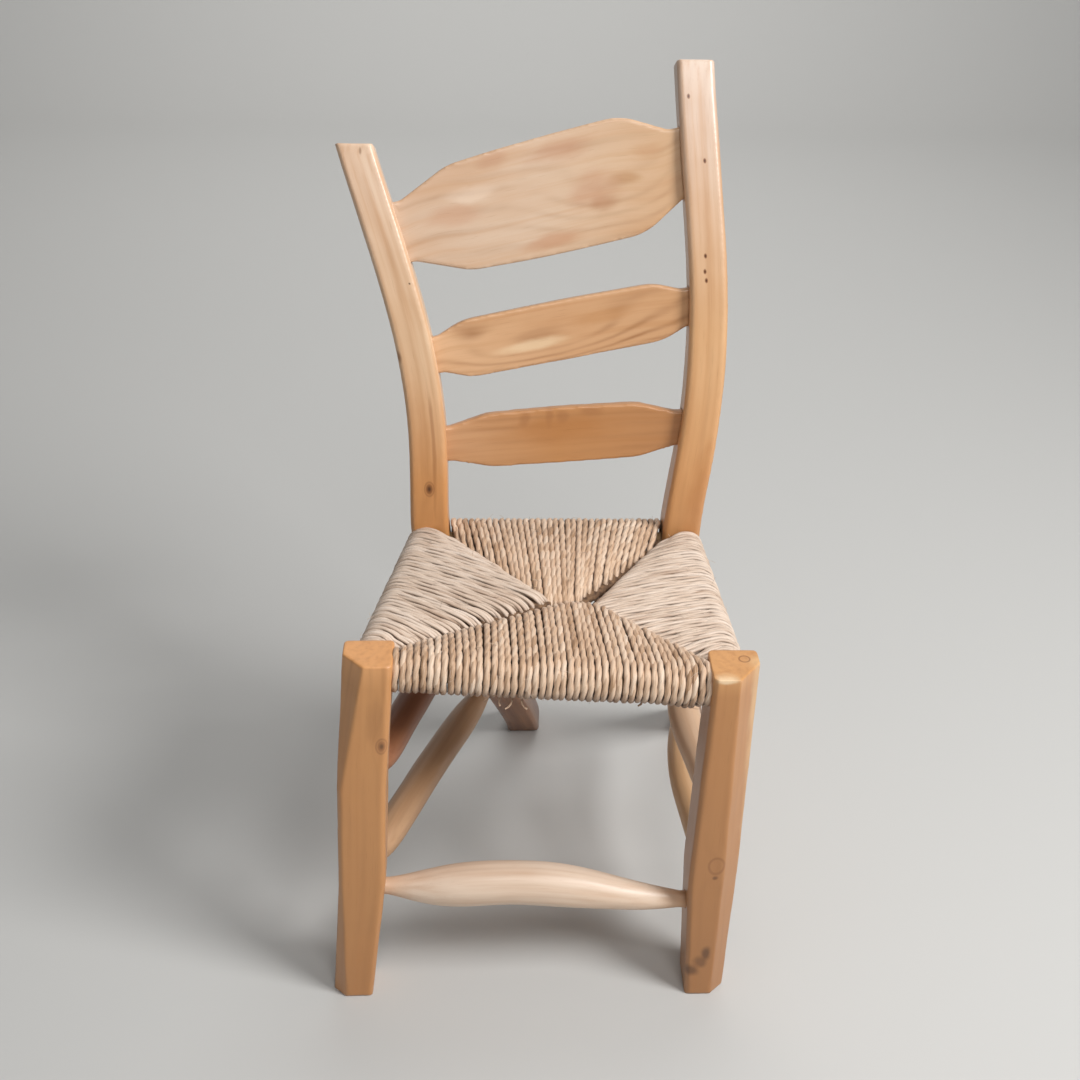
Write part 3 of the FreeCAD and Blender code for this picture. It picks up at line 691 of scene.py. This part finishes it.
class Field:
    """One field of the seat, in its rail's own directions: along the rail, inward, and up.

    Clear is what the cords leave free at the rail's two ends, and roll the radius of the rush over
    the rail, both in millimetres. Lean gives the sideways share of the cords' way inward at the
    start, middle and end of the rail.
    """

    def __init__(self, rail, inward, clear, cords, strands, roll, lean, seam):
        self.origin, end = rail
        self.along = (end - self.origin).normalized()
        self.up = self.along.cross(Vector(inward)).normalized()
        if self.up.z < 0:
            self.up = -self.up
        self.inward = self.along.cross(self.up)
        if self.inward.dot(Vector(inward)) < 0:
            self.inward = -self.inward
        self.first = clear[0] * MM
        self.last = (end - self.origin).length - clear[1] * MM
        self.pitch = (self.last - self.first) / cords
        self.cords = cords
        self.strands = strands
        self.roll = roll * MM
        self.lean = lean
        self.seam = [corner - self.origin for corner in seam]

    def depth(self, along, inset):
        """How far inward the field reaches, less an inset square to the seam."""
        reach = []
        for near, far in zip(self.seam, self.seam[1:]):
            slope = (far.dot(self.inward) - near.dot(self.inward)) / (far - near).dot(self.along)
            height = near.dot(self.inward) - slope * near.dot(self.along)
            reach.append(slope * along + height - inset * math.hypot(1, slope))
        return min(reach)

    def seat(self, along, inward, up):
        return self.origin + self.along * along + self.inward * inward + self.up * up

    def lean_at(self, along):
        share = (along - self.first) / (self.last - self.first)
        return float(np.interp(share, (0.0, 0.5, 1.0), self.lean))


front_rail = rail_line("front_seat_rail")
back_rail = rail_line("back_seat_rail")
left_rail = rail_line("left_seat_rail")
right_rail = rail_line("right_seat_rail")
front_left = front_rail[0] + Vector((13.0, 23.0, 0)) * MM
front_right = front_rail[1] + Vector((-13.0, 25.5, 0)) * MM
back_left = back_rail[0] + Vector((9.5, -18.5, 0)) * MM
back_right = back_rail[1] + Vector((-9.5, -18.5, 0)) * MM
fields = {
    "front": Field(front_rail, (0, 1, 0), clear=(13.0, 13.0), cords=46, strands=2, roll=20.3,
                   lean=(0, 0, -0.14), seam=[front_left, centre_left, centre_right, front_right]),
    "back": Field(back_rail, (0, -1, 0), clear=(9.5, 9.5), cords=35, strands=2, roll=22.8,
                  lean=(0.24, 0, -0.3), seam=[back_left, centre_left, centre_right, back_right]),
    "left": Field(left_rail, (1, 0, 0), clear=(13.0, 8.5), cords=36, strands=3, roll=20.3,
                  lean=(-0.2, -0.22, -0.12), seam=[front_left, centre_left, back_left]),
    "right": Field(right_rail, (-1, 0, 0), clear=(15.5, 8.5), cords=36, strands=3, roll=20.3,
                   lean=(-0.2, -0.22, -0.12), seam=[front_right, centre_right, back_right]),
}
for name, field in fields.items():
    print(name, "field: pitch", round(field.pitch / MM, 2), "mm")


# %% [markdown]
# A turn of cord comes up out of a seam, bows a little on its way out, bends round the rail and
# goes back underneath. A curve drawn by hand would serve for one turn. Here a function works each
# turn out from its place along the rail, so neighbours never cross and a field can be widened.

# %% Guide lines
# How a cord dips at a seam: shares of the dip's length back from its end, and of the cord's height.
dip = [(-1.5 / 16, 0.0), (0.0, 0.3), (3 / 16, 0.58), (7 / 16, 0.79), (12 / 16, 0.92)]
longest_dip = 16 * MM
crown = 1.6 * MM
# The most of a cord's upper run that dips, and the least way inward as a share of the roll's radius.
most_dip = 0.6
shortest_way = 0.75
settling_rounds = 6
slope_steps = 8
roll_steps = 12


def cord_guide(field, at, drift, thickness, sag):
    """One turn over the rail and back under it, dipping into the seam at both ends.

    Drift moves its inner end sideways, and sag is how far the turn hangs off the roll. Each point
    comes with the direction that faces out of the seat there.
    """
    lean = field.lean_at(at)
    roll = field.roll - thickness / 2
    height = rush_half_height - thickness / 2

    # The seam's place depends on where the lean takes the cord, so a few rounds settle it.
    inner = field.depth(at, seam_inset)
    for _ in range(settling_rounds):
        inner = field.depth(at + lean * inner, seam_inset)
    inner = max(inner, roll * shortest_way)
    tangent = math.atan2(height, inner) + math.acos(min(1.0, roll / math.hypot(height, inner)))
    dip_length = min(longest_dip, (inner - roll * math.cos(tangent)) * most_dip)

    def place(inward, up):
        side = (lean + drift / inner) * max(0.0, inward)
        return field.seat(at + side, inward, up)

    def slope(share):
        reach = (inner - dip_length) + (roll * math.cos(tangent) - (inner - dip_length)) * share
        return reach, height + (roll * math.sin(tangent) - height) * share

    upward, downward = field.up, -field.up
    made = [(place(inner - back * dip_length, height * rise), upward) for back, rise in dip]
    for step in range(slope_steps):
        reach, rise = slope(step / slope_steps)
        made.append((place(reach, rise + crown * math.sin(math.pi * step / slope_steps)), upward))
    for step in range(roll_steps + 1):
        angle = tangent + (2 * math.pi - 2 * tangent) * step / roll_steps
        low = sag * max(0.0, -math.sin(angle))
        outward = field.inward * math.cos(angle) + field.up * math.sin(angle)
        made.append((field.seat(at, roll * math.cos(angle), roll * math.sin(angle) - low), outward))
    for share in (0.75, 0.5, 0.25, 0.0):
        reach, rise = slope(share)
        made.append((place(reach, -rise), downward))
    made += [(place(inner - back * dip_length, -height * rise), downward) for back, rise in dip[:0:-1]]
    return made


def guide_object(name, runs):
    """Guide lines as edges, with each point's outward direction."""
    places = [place for run in runs for place, _ in run]
    outward = [part for run in runs for _, direction in run for part in direction]
    edges, start = [], 0
    for run in runs:
        edges += [(start + i, start + i + 1) for i in range(len(run) - 1)]
        start += len(run)
    mesh = bpy.data.meshes.new(name)
    mesh.from_pydata(places, edges, [])
    mesh.attributes.new("outward", "FLOAT_VECTOR", "POINT").data.foreach_set("vector", outward)
    return in_scene(name, mesh)


# %% [markdown]
# A cord is two or three bundles of leaf turned round each other. Modelling each by hand would take
# days, and a bump pattern would leave the outline smooth. A tree copies every guide line once for
# each strand, shifts the copies off the guide by an angle that grows along it, and gives each a
# tube. It also stores what the finish needs later: tint, run, strand and place round the strand.

# %% A tree that twists cords
def twisted_cord_tree():
    """Lays strands round each guide line and twists them into a cord."""
    tree, given = new_tree(
        "twisted_cord", ("Strand reach", "Strand radius", "Twist length", "Point spacing", "Unevenness"),
        ("Strands", "Sides", "Seed"))

    # Every cord keeps a tint of its own, every point its run along the cord, every strand its number.
    lines = add(tree, "GeometryNodeMeshToCurve", {"Mesh": given["Geometry"]})
    cords = add(tree, "GeometryNodeResampleCurve", {"Curve": lines, "Length": given["Point spacing"]},
                mode="LENGTH")
    index = add(tree, "GeometryNodeInputIndex")
    chance = add(tree, "FunctionNodeRandomValue", {"ID": index, "Seed": given["Seed"]}, data_type="FLOAT")
    marked = add(tree, "GeometryNodeStoreNamedAttribute",
                 {"Geometry": cords, "Name": "cord_tint", "Value": chance.outputs[1]},
                 data_type="FLOAT", domain="CURVE")
    so_far = add(tree, "GeometryNodeSplineParameter").outputs["Length"]
    measured = add(tree, "GeometryNodeStoreNamedAttribute",
                   {"Geometry": marked, "Name": "run", "Value": so_far}, data_type="FLOAT", domain="POINT")
    copies = add(tree, "GeometryNodeDuplicateElements", {"Geometry": measured, "Amount": given["Strands"]},
                 domain="SPLINE").outputs
    strands = add(tree, "GeometryNodeStoreNamedAttribute",
                  {"Geometry": copies["Geometry"], "Name": "strand", "Value": copies["Duplicate Index"]},
                  data_type="FLOAT", domain="CURVE")
    strand, tint, run = (add(tree, "GeometryNodeInputNamedAttribute", {"Name": part}, data_type="FLOAT")
                         for part in ("strand", "cord_tint", "run"))

    # The angle of a strand at a point: its share of a turn, the twist so far, and the cord's own start.
    share = add(tree, "ShaderNodeMath", {0: strand, 1: given["Strands"]}, operation="DIVIDE")
    twist = add(tree, "ShaderNodeMath", {0: run, 1: given["Twist length"]}, operation="DIVIDE")
    turned = add(tree, "ShaderNodeMath", {0: share, 1: twist}, operation="ADD")
    turns = add(tree, "ShaderNodeMath", {0: tint, 1: 7.0, 2: turned}, operation="MULTIPLY_ADD")
    angle = add(tree, "ShaderNodeMath", {0: turns, 1: 2 * math.pi}, operation="MULTIPLY")
    normal = add(tree, "GeometryNodeInputNormal")
    tangent = add(tree, "GeometryNodeInputTangent")
    side = add(tree, "ShaderNodeVectorMath", {0: tangent, 1: normal}, operation="CROSS_PRODUCT")
    ways = {}
    for number, (kind, direction) in enumerate((("COSINE", normal), ("SINE", side))):
        part = add(tree, "ShaderNodeMath", {0: angle}, operation=kind)
        far = add(tree, "ShaderNodeMath", {0: part, 1: given["Strand reach"]}, operation="MULTIPLY")
        ways[number] = add(tree, "ShaderNodeVectorMath", {0: direction, "Scale": far}, operation="SCALE")
    around = add(tree, "ShaderNodeVectorMath", ways, operation="ADD")

    # Leaves are never even: each strand swells, thins and strays along its run.
    places = {}
    for number, (value, often) in enumerate(((run, 55.0), (strand, 9.0), (tint, 90.0))):
        places[number] = add(tree, "ShaderNodeMath", {0: value, 1: often}, operation="MULTIPLY")
    spot = add(tree, "ShaderNodeCombineXYZ", places)
    leaf = add(tree, "ShaderNodeTexNoise", {"Vector": spot, "Scale": 1.0, "Detail": 2.0})
    centred = add(tree, "ShaderNodeMath", {0: leaf, 1: 0.5}, operation="SUBTRACT")
    swell = add(tree, "ShaderNodeMath", {0: centred, 1: given["Unevenness"]}, operation="MULTIPLY")
    fullness = add(tree, "ShaderNodeMath", {0: swell, 1: 1.0}, operation="ADD")
    radius = add(tree, "ShaderNodeMath", {0: given["Strand radius"], 1: fullness}, operation="MULTIPLY")
    stray = add(tree, "ShaderNodeVectorMath", {0: leaf.outputs["Color"], 1: (0.5, 0.5, 0.5)},
                operation="SUBTRACT")
    half = add(tree, "ShaderNodeMath", {0: given["Strand radius"], 1: 0.5}, operation="MULTIPLY")
    straying = add(tree, "ShaderNodeVectorMath", {0: stray, "Scale": half}, operation="SCALE")
    offset = add(tree, "ShaderNodeVectorMath", {0: around, 1: straying}, operation="ADD")
    laid = add(tree, "GeometryNodeSetPosition", {"Geometry": strands, "Offset": offset})
    thick = add(tree, "GeometryNodeSetCurveRadius", {"Curve": laid, "Radius": radius})

    # A tube along each strand, whose points keep their place round it.
    profile = add(tree, "GeometryNodeCurvePrimitiveCircle", {"Resolution": given["Sides"], "Radius": 1.0})
    place_round = add(tree, "GeometryNodeInputPosition")
    ringed = add(tree, "GeometryNodeStoreNamedAttribute",
                 {"Geometry": profile, "Name": "ring", "Value": place_round},
                 data_type="FLOAT_VECTOR", domain="POINT")
    own_radius = add(tree, "GeometryNodeInputRadius")
    tube = add(tree, "GeometryNodeCurveToMesh",
               {"Curve": thick, "Profile Curve": ringed, "Scale": own_radius, "Fill Caps": True})

    # How far a strand faces out of the seat. Where it faces away, between strands and
    # cords, the finish paints shade.
    outward = add(tree, "GeometryNodeInputNamedAttribute", {"Name": "outward"}, data_type="FLOAT_VECTOR")
    facing = add(tree, "GeometryNodeInputNormal")
    openness = add(tree, "ShaderNodeVectorMath", {0: facing, 1: outward}, operation="DOT_PRODUCT")
    shaded = add(tree, "GeometryNodeStoreNamedAttribute",
                 {"Geometry": tube, "Name": "openness", "Value": openness.outputs["Value"]},
                 data_type="FLOAT", domain="POINT")
    smooth = add(tree, "GeometryNodeSetShadeSmooth", {"Geometry": shaded})
    return end_tree(tree, smooth, given["Material"])


twisted_cord = twisted_cord_tree()

# %% [markdown]
# Dried rush leaf is straw: pale tan with long fibres, browner where a leaf was old, dull along
# its length with a slight sheen across. The fibres follow each strand, so the pattern reads the
# distance run along the strand and the place round it, and not the chair's own directions. The
# side that faces the floor gets painted shade, a dark brown, and so do the grooves between cords.

# %% Rush finish
def rush_leaf(name, pale, mid, brown, groove_shade, depth):
    """Rush of three tones, with painted shade where its cords meet, a fourth tone to a given depth."""
    material, tree, shader = new_material(name)
    run, tint, strand, openness = (add(tree, "ShaderNodeAttribute", attribute_name=part).outputs["Fac"]
                                   for part in ("run", "cord_tint", "strand", "openness"))
    ring, outward = (add(tree, "ShaderNodeAttribute", attribute_name=part).outputs["Vector"]
                     for part in ("ring", "outward"))
    round_it = add(tree, "ShaderNodeSeparateXYZ", {0: ring}).outputs
    own = add(tree, "ShaderNodeMath", {0: tint, 1: 57.0, 2: strand}, operation="MULTIPLY_ADD")
    length = add(tree, "ShaderNodeMath", {0: run, 1: 22.0, 2: own}, operation="MULTIPLY_ADD")
    fibre_spot = add(tree, "ShaderNodeCombineXYZ", {0: round_it[0], 1: round_it[1], 2: length})
    fibres = add(tree, "ShaderNodeTexNoise", {"Vector": fibre_spot, "Scale": 4.0, "Detail": 4.0})
    slow = add(tree, "ShaderNodeMath", {0: run, 1: 9.0, 2: own}, operation="MULTIPLY_ADD")
    leaf_spot = add(tree, "ShaderNodeCombineXYZ", {0: slow, 1: own})
    leaves = add(tree, "ShaderNodeTexNoise", {"Vector": leaf_spot, "Scale": 1.0, "Detail": 2.0})
    fine = add(tree, "ShaderNodeMath", {0: fibres, 1: 0.4}, operation="MULTIPLY")
    tones = add(tree, "ShaderNodeMath", {0: leaves, 1: 0.6, 2: fine}, operation="MULTIPLY_ADD")
    colour = ramp_of(tree, tones, [(0.34, brown), (0.48, mid), (0.64, pale)])
    # Painted shade in the grooves between strands and cords, where they face away from the outside.
    colour = mixed(tree, colour, groove_shade, faded(tree, openness, -0.1, 0.75, depth, 0.0))
    # Painted shade: dark brown on the side of the cords that faces the floor.
    rise = add(tree, "ShaderNodeSeparateXYZ", {0: outward}).outputs[2]
    colour = mixed(tree, colour, "6E4A33", faded(tree, rise, -0.75, -0.1, 0.6, 0.0))
    surface(tree, shader, colour, fibres, strength=0.8, relief_depth=0.45,
            values={"Roughness": 0.52, "Sheen Weight": 0.15})
    return material


# Each fourth colour is the painted shade in the grooves, and the number how deep it goes.
rush_warm = rush_leaf("twisted_rush_warm", "E6CFB8", "CFAE90", "98724F", "4E3222", 0.78)
rush_pale = rush_leaf("twisted_rush_pale", "E4D2C2", "D4BEAA", "B0927B", "684B36", 0.62)


# %% [markdown]
# The front and back cords show a clear twist, so they get two strands and a short twist length.
# The side cords look almost straight, so they get three strands and a long one. No turn lies quite
# true, so each is shifted by a fixed small amount, and the front roll sags.

# %% Winding the four fields
point_spacing = 3.2 * MM
sides_by_strands = {2: 7, 3: 6}


def lay_cords(name, runs, strands, strand_radius, reach, twist, seed, material):
    """Twisted cords along guide lines, as one mesh."""
    made = shaped(guide_object("guides_" + name, runs), name, twisted_cord, {
        "Strand reach": reach, "Strand radius": strand_radius, "Twist length": twist,
        "Point spacing": point_spacing, "Unevenness": 0.5, "Strands": strands,
        "Sides": sides_by_strands[strands], "Seed": seed, "Material": material})
    print(name, "cords:", len(runs), "faces:", len(made.data.polygons))
    return made


def jitter(seed, amount):
    """A fixed random number between minus and plus an amount."""
    return (noise.cell(Vector((seed * 1.37, seed * 0.71, 4.2))) - 0.5) * 2 * amount


# Strands of a cord: radius and distance from its middle, as shares of the pitch, and twist length.
lay = {2: (0.44, 0.10, 30 * MM), 3: (0.33, 0.21, 110 * MM)}
place_jitter = {2: 0.2 * MM, 3: 0.45 * MM}
drift_jitter = 0.8 * MM

# The front roll hangs a little lower towards its middle, and most near its right end.
middle_sag = 1 * MM
end_sag = 4 * MM
end_sag_at, end_sag_reach = 0.93, 0.05
rush_pieces = {}
for order, (name, field) in enumerate(fields.items()):
    radius, reach, twist = lay[field.strands]
    runs = []
    for cord in range(field.cords):
        number = cord + 50 * order
        share = (cord + 0.5) / field.cords
        at = field.first + field.pitch * (cord + 0.5) + jitter(number, place_jitter[field.strands])
        sag = 0.0
        if name == "front":
            sag = end_sag * math.exp(-((share - end_sag_at) / end_sag_reach) ** 2)
            sag += middle_sag * math.sin(math.pi * share)
        runs.append(cord_guide(field, at, jitter(number + 500, drift_jitter), field.pitch, sag))
    piece = lay_cords("rush_" + name, runs, field.strands, field.pitch * radius, field.pitch * reach,
                      twist, order + 3, rush_pale if name in ("left", "right") else rush_warm)
    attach(piece, "root")
    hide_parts("rush_" + name + "_winding")
    rush_pieces[name] = piece

# %% [markdown]
# Rush is never tidy. Short fibres stand off the cords all over the seat, scattered by a second
# tree where the cords face outward, and a few leaf ends hang under the front roll.

# %% Stray fibres
def stray_fibres_tree():
    """Scatters short curved fibres over the open sides of a mesh."""
    tree, given = new_tree("stray_fibres", ("Fibres per square metre", "Length", "Thickness"), ("Seed",))
    openness = add(tree, "GeometryNodeInputNamedAttribute", {"Name": "openness"}, data_type="FLOAT")
    outer = add(tree, "ShaderNodeMath", {0: openness, 1: 0.6}, operation="GREATER_THAN")
    roots = add(tree, "GeometryNodeDistributePointsOnFaces", {
        "Mesh": given["Geometry"], "Selection": outer, "Density": given["Fibres per square metre"],
        "Seed": given["Seed"]}).outputs

    # One fibre of length one, which is then laid everywhere in its own size and heading.
    bow = add(tree, "GeometryNodeCurveQuadraticBezier",
              {"Resolution": 5, "Start": (0, 0, 0), "Middle": (0.5, 0.1, 0.22), "End": (1.0, 0, 0.12)})
    slimness = add(tree, "ShaderNodeMath", {0: given["Thickness"], 1: given["Length"]}, operation="DIVIDE")
    thread = add(tree, "GeometryNodeCurvePrimitiveCircle", {"Resolution": 3, "Radius": slimness})
    fibre = add(tree, "GeometryNodeCurveToMesh", {"Curve": bow, "Profile Curve": thread})
    size = add(tree, "FunctionNodeRandomValue", {2: 0.4, 3: 1.3, "Seed": given["Seed"]}, data_type="FLOAT")
    scale = add(tree, "ShaderNodeMath", {0: size.outputs[1], 1: given["Length"]}, operation="MULTIPLY")
    laid = add(tree, "GeometryNodeInstanceOnPoints", {
        "Points": roots["Points"], "Instance": fibre, "Rotation": roots["Rotation"], "Scale": scale})
    heading = add(tree, "FunctionNodeRandomValue", {2: 0.0, 3: 2 * math.pi, "Seed": 7}, data_type="FLOAT")
    spin = add(tree, "ShaderNodeCombineXYZ", {2: heading.outputs[1]})
    spun = add(tree, "GeometryNodeRotateInstances", {"Instances": laid, "Rotation": spin})
    return end_tree(tree, spun, given["Material"])


stray_fibres = stray_fibres_tree()
fibres_per_square_metre = 2200.0
fibre_length = 9 * MM
fibre_thickness = 0.16 * MM
for order, (name, piece) in enumerate(rush_pieces.items()):
    fibres = shaped(in_scene("cords_" + name, piece.data.copy()), "rush_fibres_" + name, stray_fibres, {
        "Fibres per square metre": fibres_per_square_metre, "Length": fibre_length,
        "Thickness": fibre_thickness, "Seed": 20 + order, "Material": rush_pale})
    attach(fibres, "root")
    print(fibres.name, "faces:", len(fibres.data.polygons))


# %% Loose ends
front_plane = (front_rail[0].y + front_rail[1].y) / 2


def under_front_roll(px, py, forward_by):
    """The point that the camera sees at a pixel, on an upright plane through the front rail."""
    ray = sight_line(px, py)
    return eye + ray * ((front_plane - forward_by - eye.y) / ray.y)


# Each loose end as pixels of its start, bend and tip, and how far the tip stands forward.
loose_ends = [((503, 690), (496, 701), (500, 706), 6), ((510, 690), (516, 704), (505, 709), 10),
              ((518, 690), (526, 703), (529, 698), 4), ((524, 690), (518, 706), (527, 709), 12),
              ((640, 694), (645, 704), (638, 706), 5)]
end_steps = 8
runs = []
for start, bend, tip, out in loose_ends:
    first = under_front_roll(*start, 0.0)
    middle = under_front_roll(*bend, out / 2 * MM)
    last = under_front_roll(*tip, out * MM)
    run = []
    for step in range(end_steps + 1):
        share = step / end_steps
        run.append((first.lerp(middle, share).lerp(middle.lerp(last, share), share), Vector((0, -1, 0))))
    runs.append(run)
piece = lay_cords("rush_loose_ends", runs, strands=2, strand_radius=0.7 * MM, reach=0.4 * MM,
                  twist=16 * MM, seed=11, material=rush_warm)
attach(piece, "root")

# %% [markdown]
# Between the upper and lower cords the weaver packs scraps of rush. They are dark, because no
# light reaches them, and only show through the gaps.

# %% Packed rush
def packed_rush():
    """Scraps of leaf a few millimetres across, in two dark tones."""
    material, tree, shader = new_material("packed_rush")
    spot = add(tree, "ShaderNodeTexCoord").outputs["Object"]
    scraps = add(tree, "ShaderNodeTexNoise", {"Vector": spot, "Scale": 180.0, "Detail": 4.0})
    colour = ramp_of(tree, scraps, [(0.35, "4A3424"), (0.7, "846549")])
    surface(tree, shader, colour, scraps, strength=0.8, relief_depth=1.0, values={"Roughness": 0.85})
    return material


pad_steps = 48
pad_margin = 2 * MM
past_seam = 6 * MM
pad_start = 10 * MM
pad_slope = 14 * MM
pad_half_heights = (7.5 * MM, 6 * MM, 3.5 * MM)


def pad(name, field):
    """A cushion that fills a field from its rail to the seams, where it is thinnest."""
    start = field.first + pad_margin
    end = field.last - pad_margin
    vertices, faces = [], []
    for step in range(pad_steps + 1):
        at = start + (end - start) * step / pad_steps
        depth = max(field.depth(at, -past_seam), field.roll)
        reaches = (pad_start, depth - min(pad_slope, depth / 2), depth)
        upper = list(zip(reaches, pad_half_heights))
        for inward, up in upper + [(inward, -up) for inward, up in upper[::-1]]:
            vertices.append(field.seat(at, inward, up))
    corners = 2 * len(pad_half_heights)
    for step in range(pad_steps):
        for corner in range(corners):
            near, far = corners * step, corners * step + corners
            after = (corner + 1) % corners
            faces.append((near + corner, near + after, far + after, far + corner))
    faces.append(tuple(range(corners))[::-1])
    faces.append(tuple(corners * pad_steps + corner for corner in range(corners)))
    mesh = bpy.data.meshes.new(name)
    mesh.from_pydata(vertices, [], faces)
    return mesh


packed = packed_rush()
for name, field in fields.items():
    node = "rush_" + name + "_stuffing"
    axis = rail_axes[name + "_seat_rail"]
    skin = worn_skin(node, axis, voxel=2.5 * MM, smoothing=4, mesh=pad("pad_" + name, field))
    piece = lumpy(skin, "packed_rush_" + name, packed, depth=2, wave_length=8, wave_width=8, seed=5)
    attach(piece, "root")
    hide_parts(node)
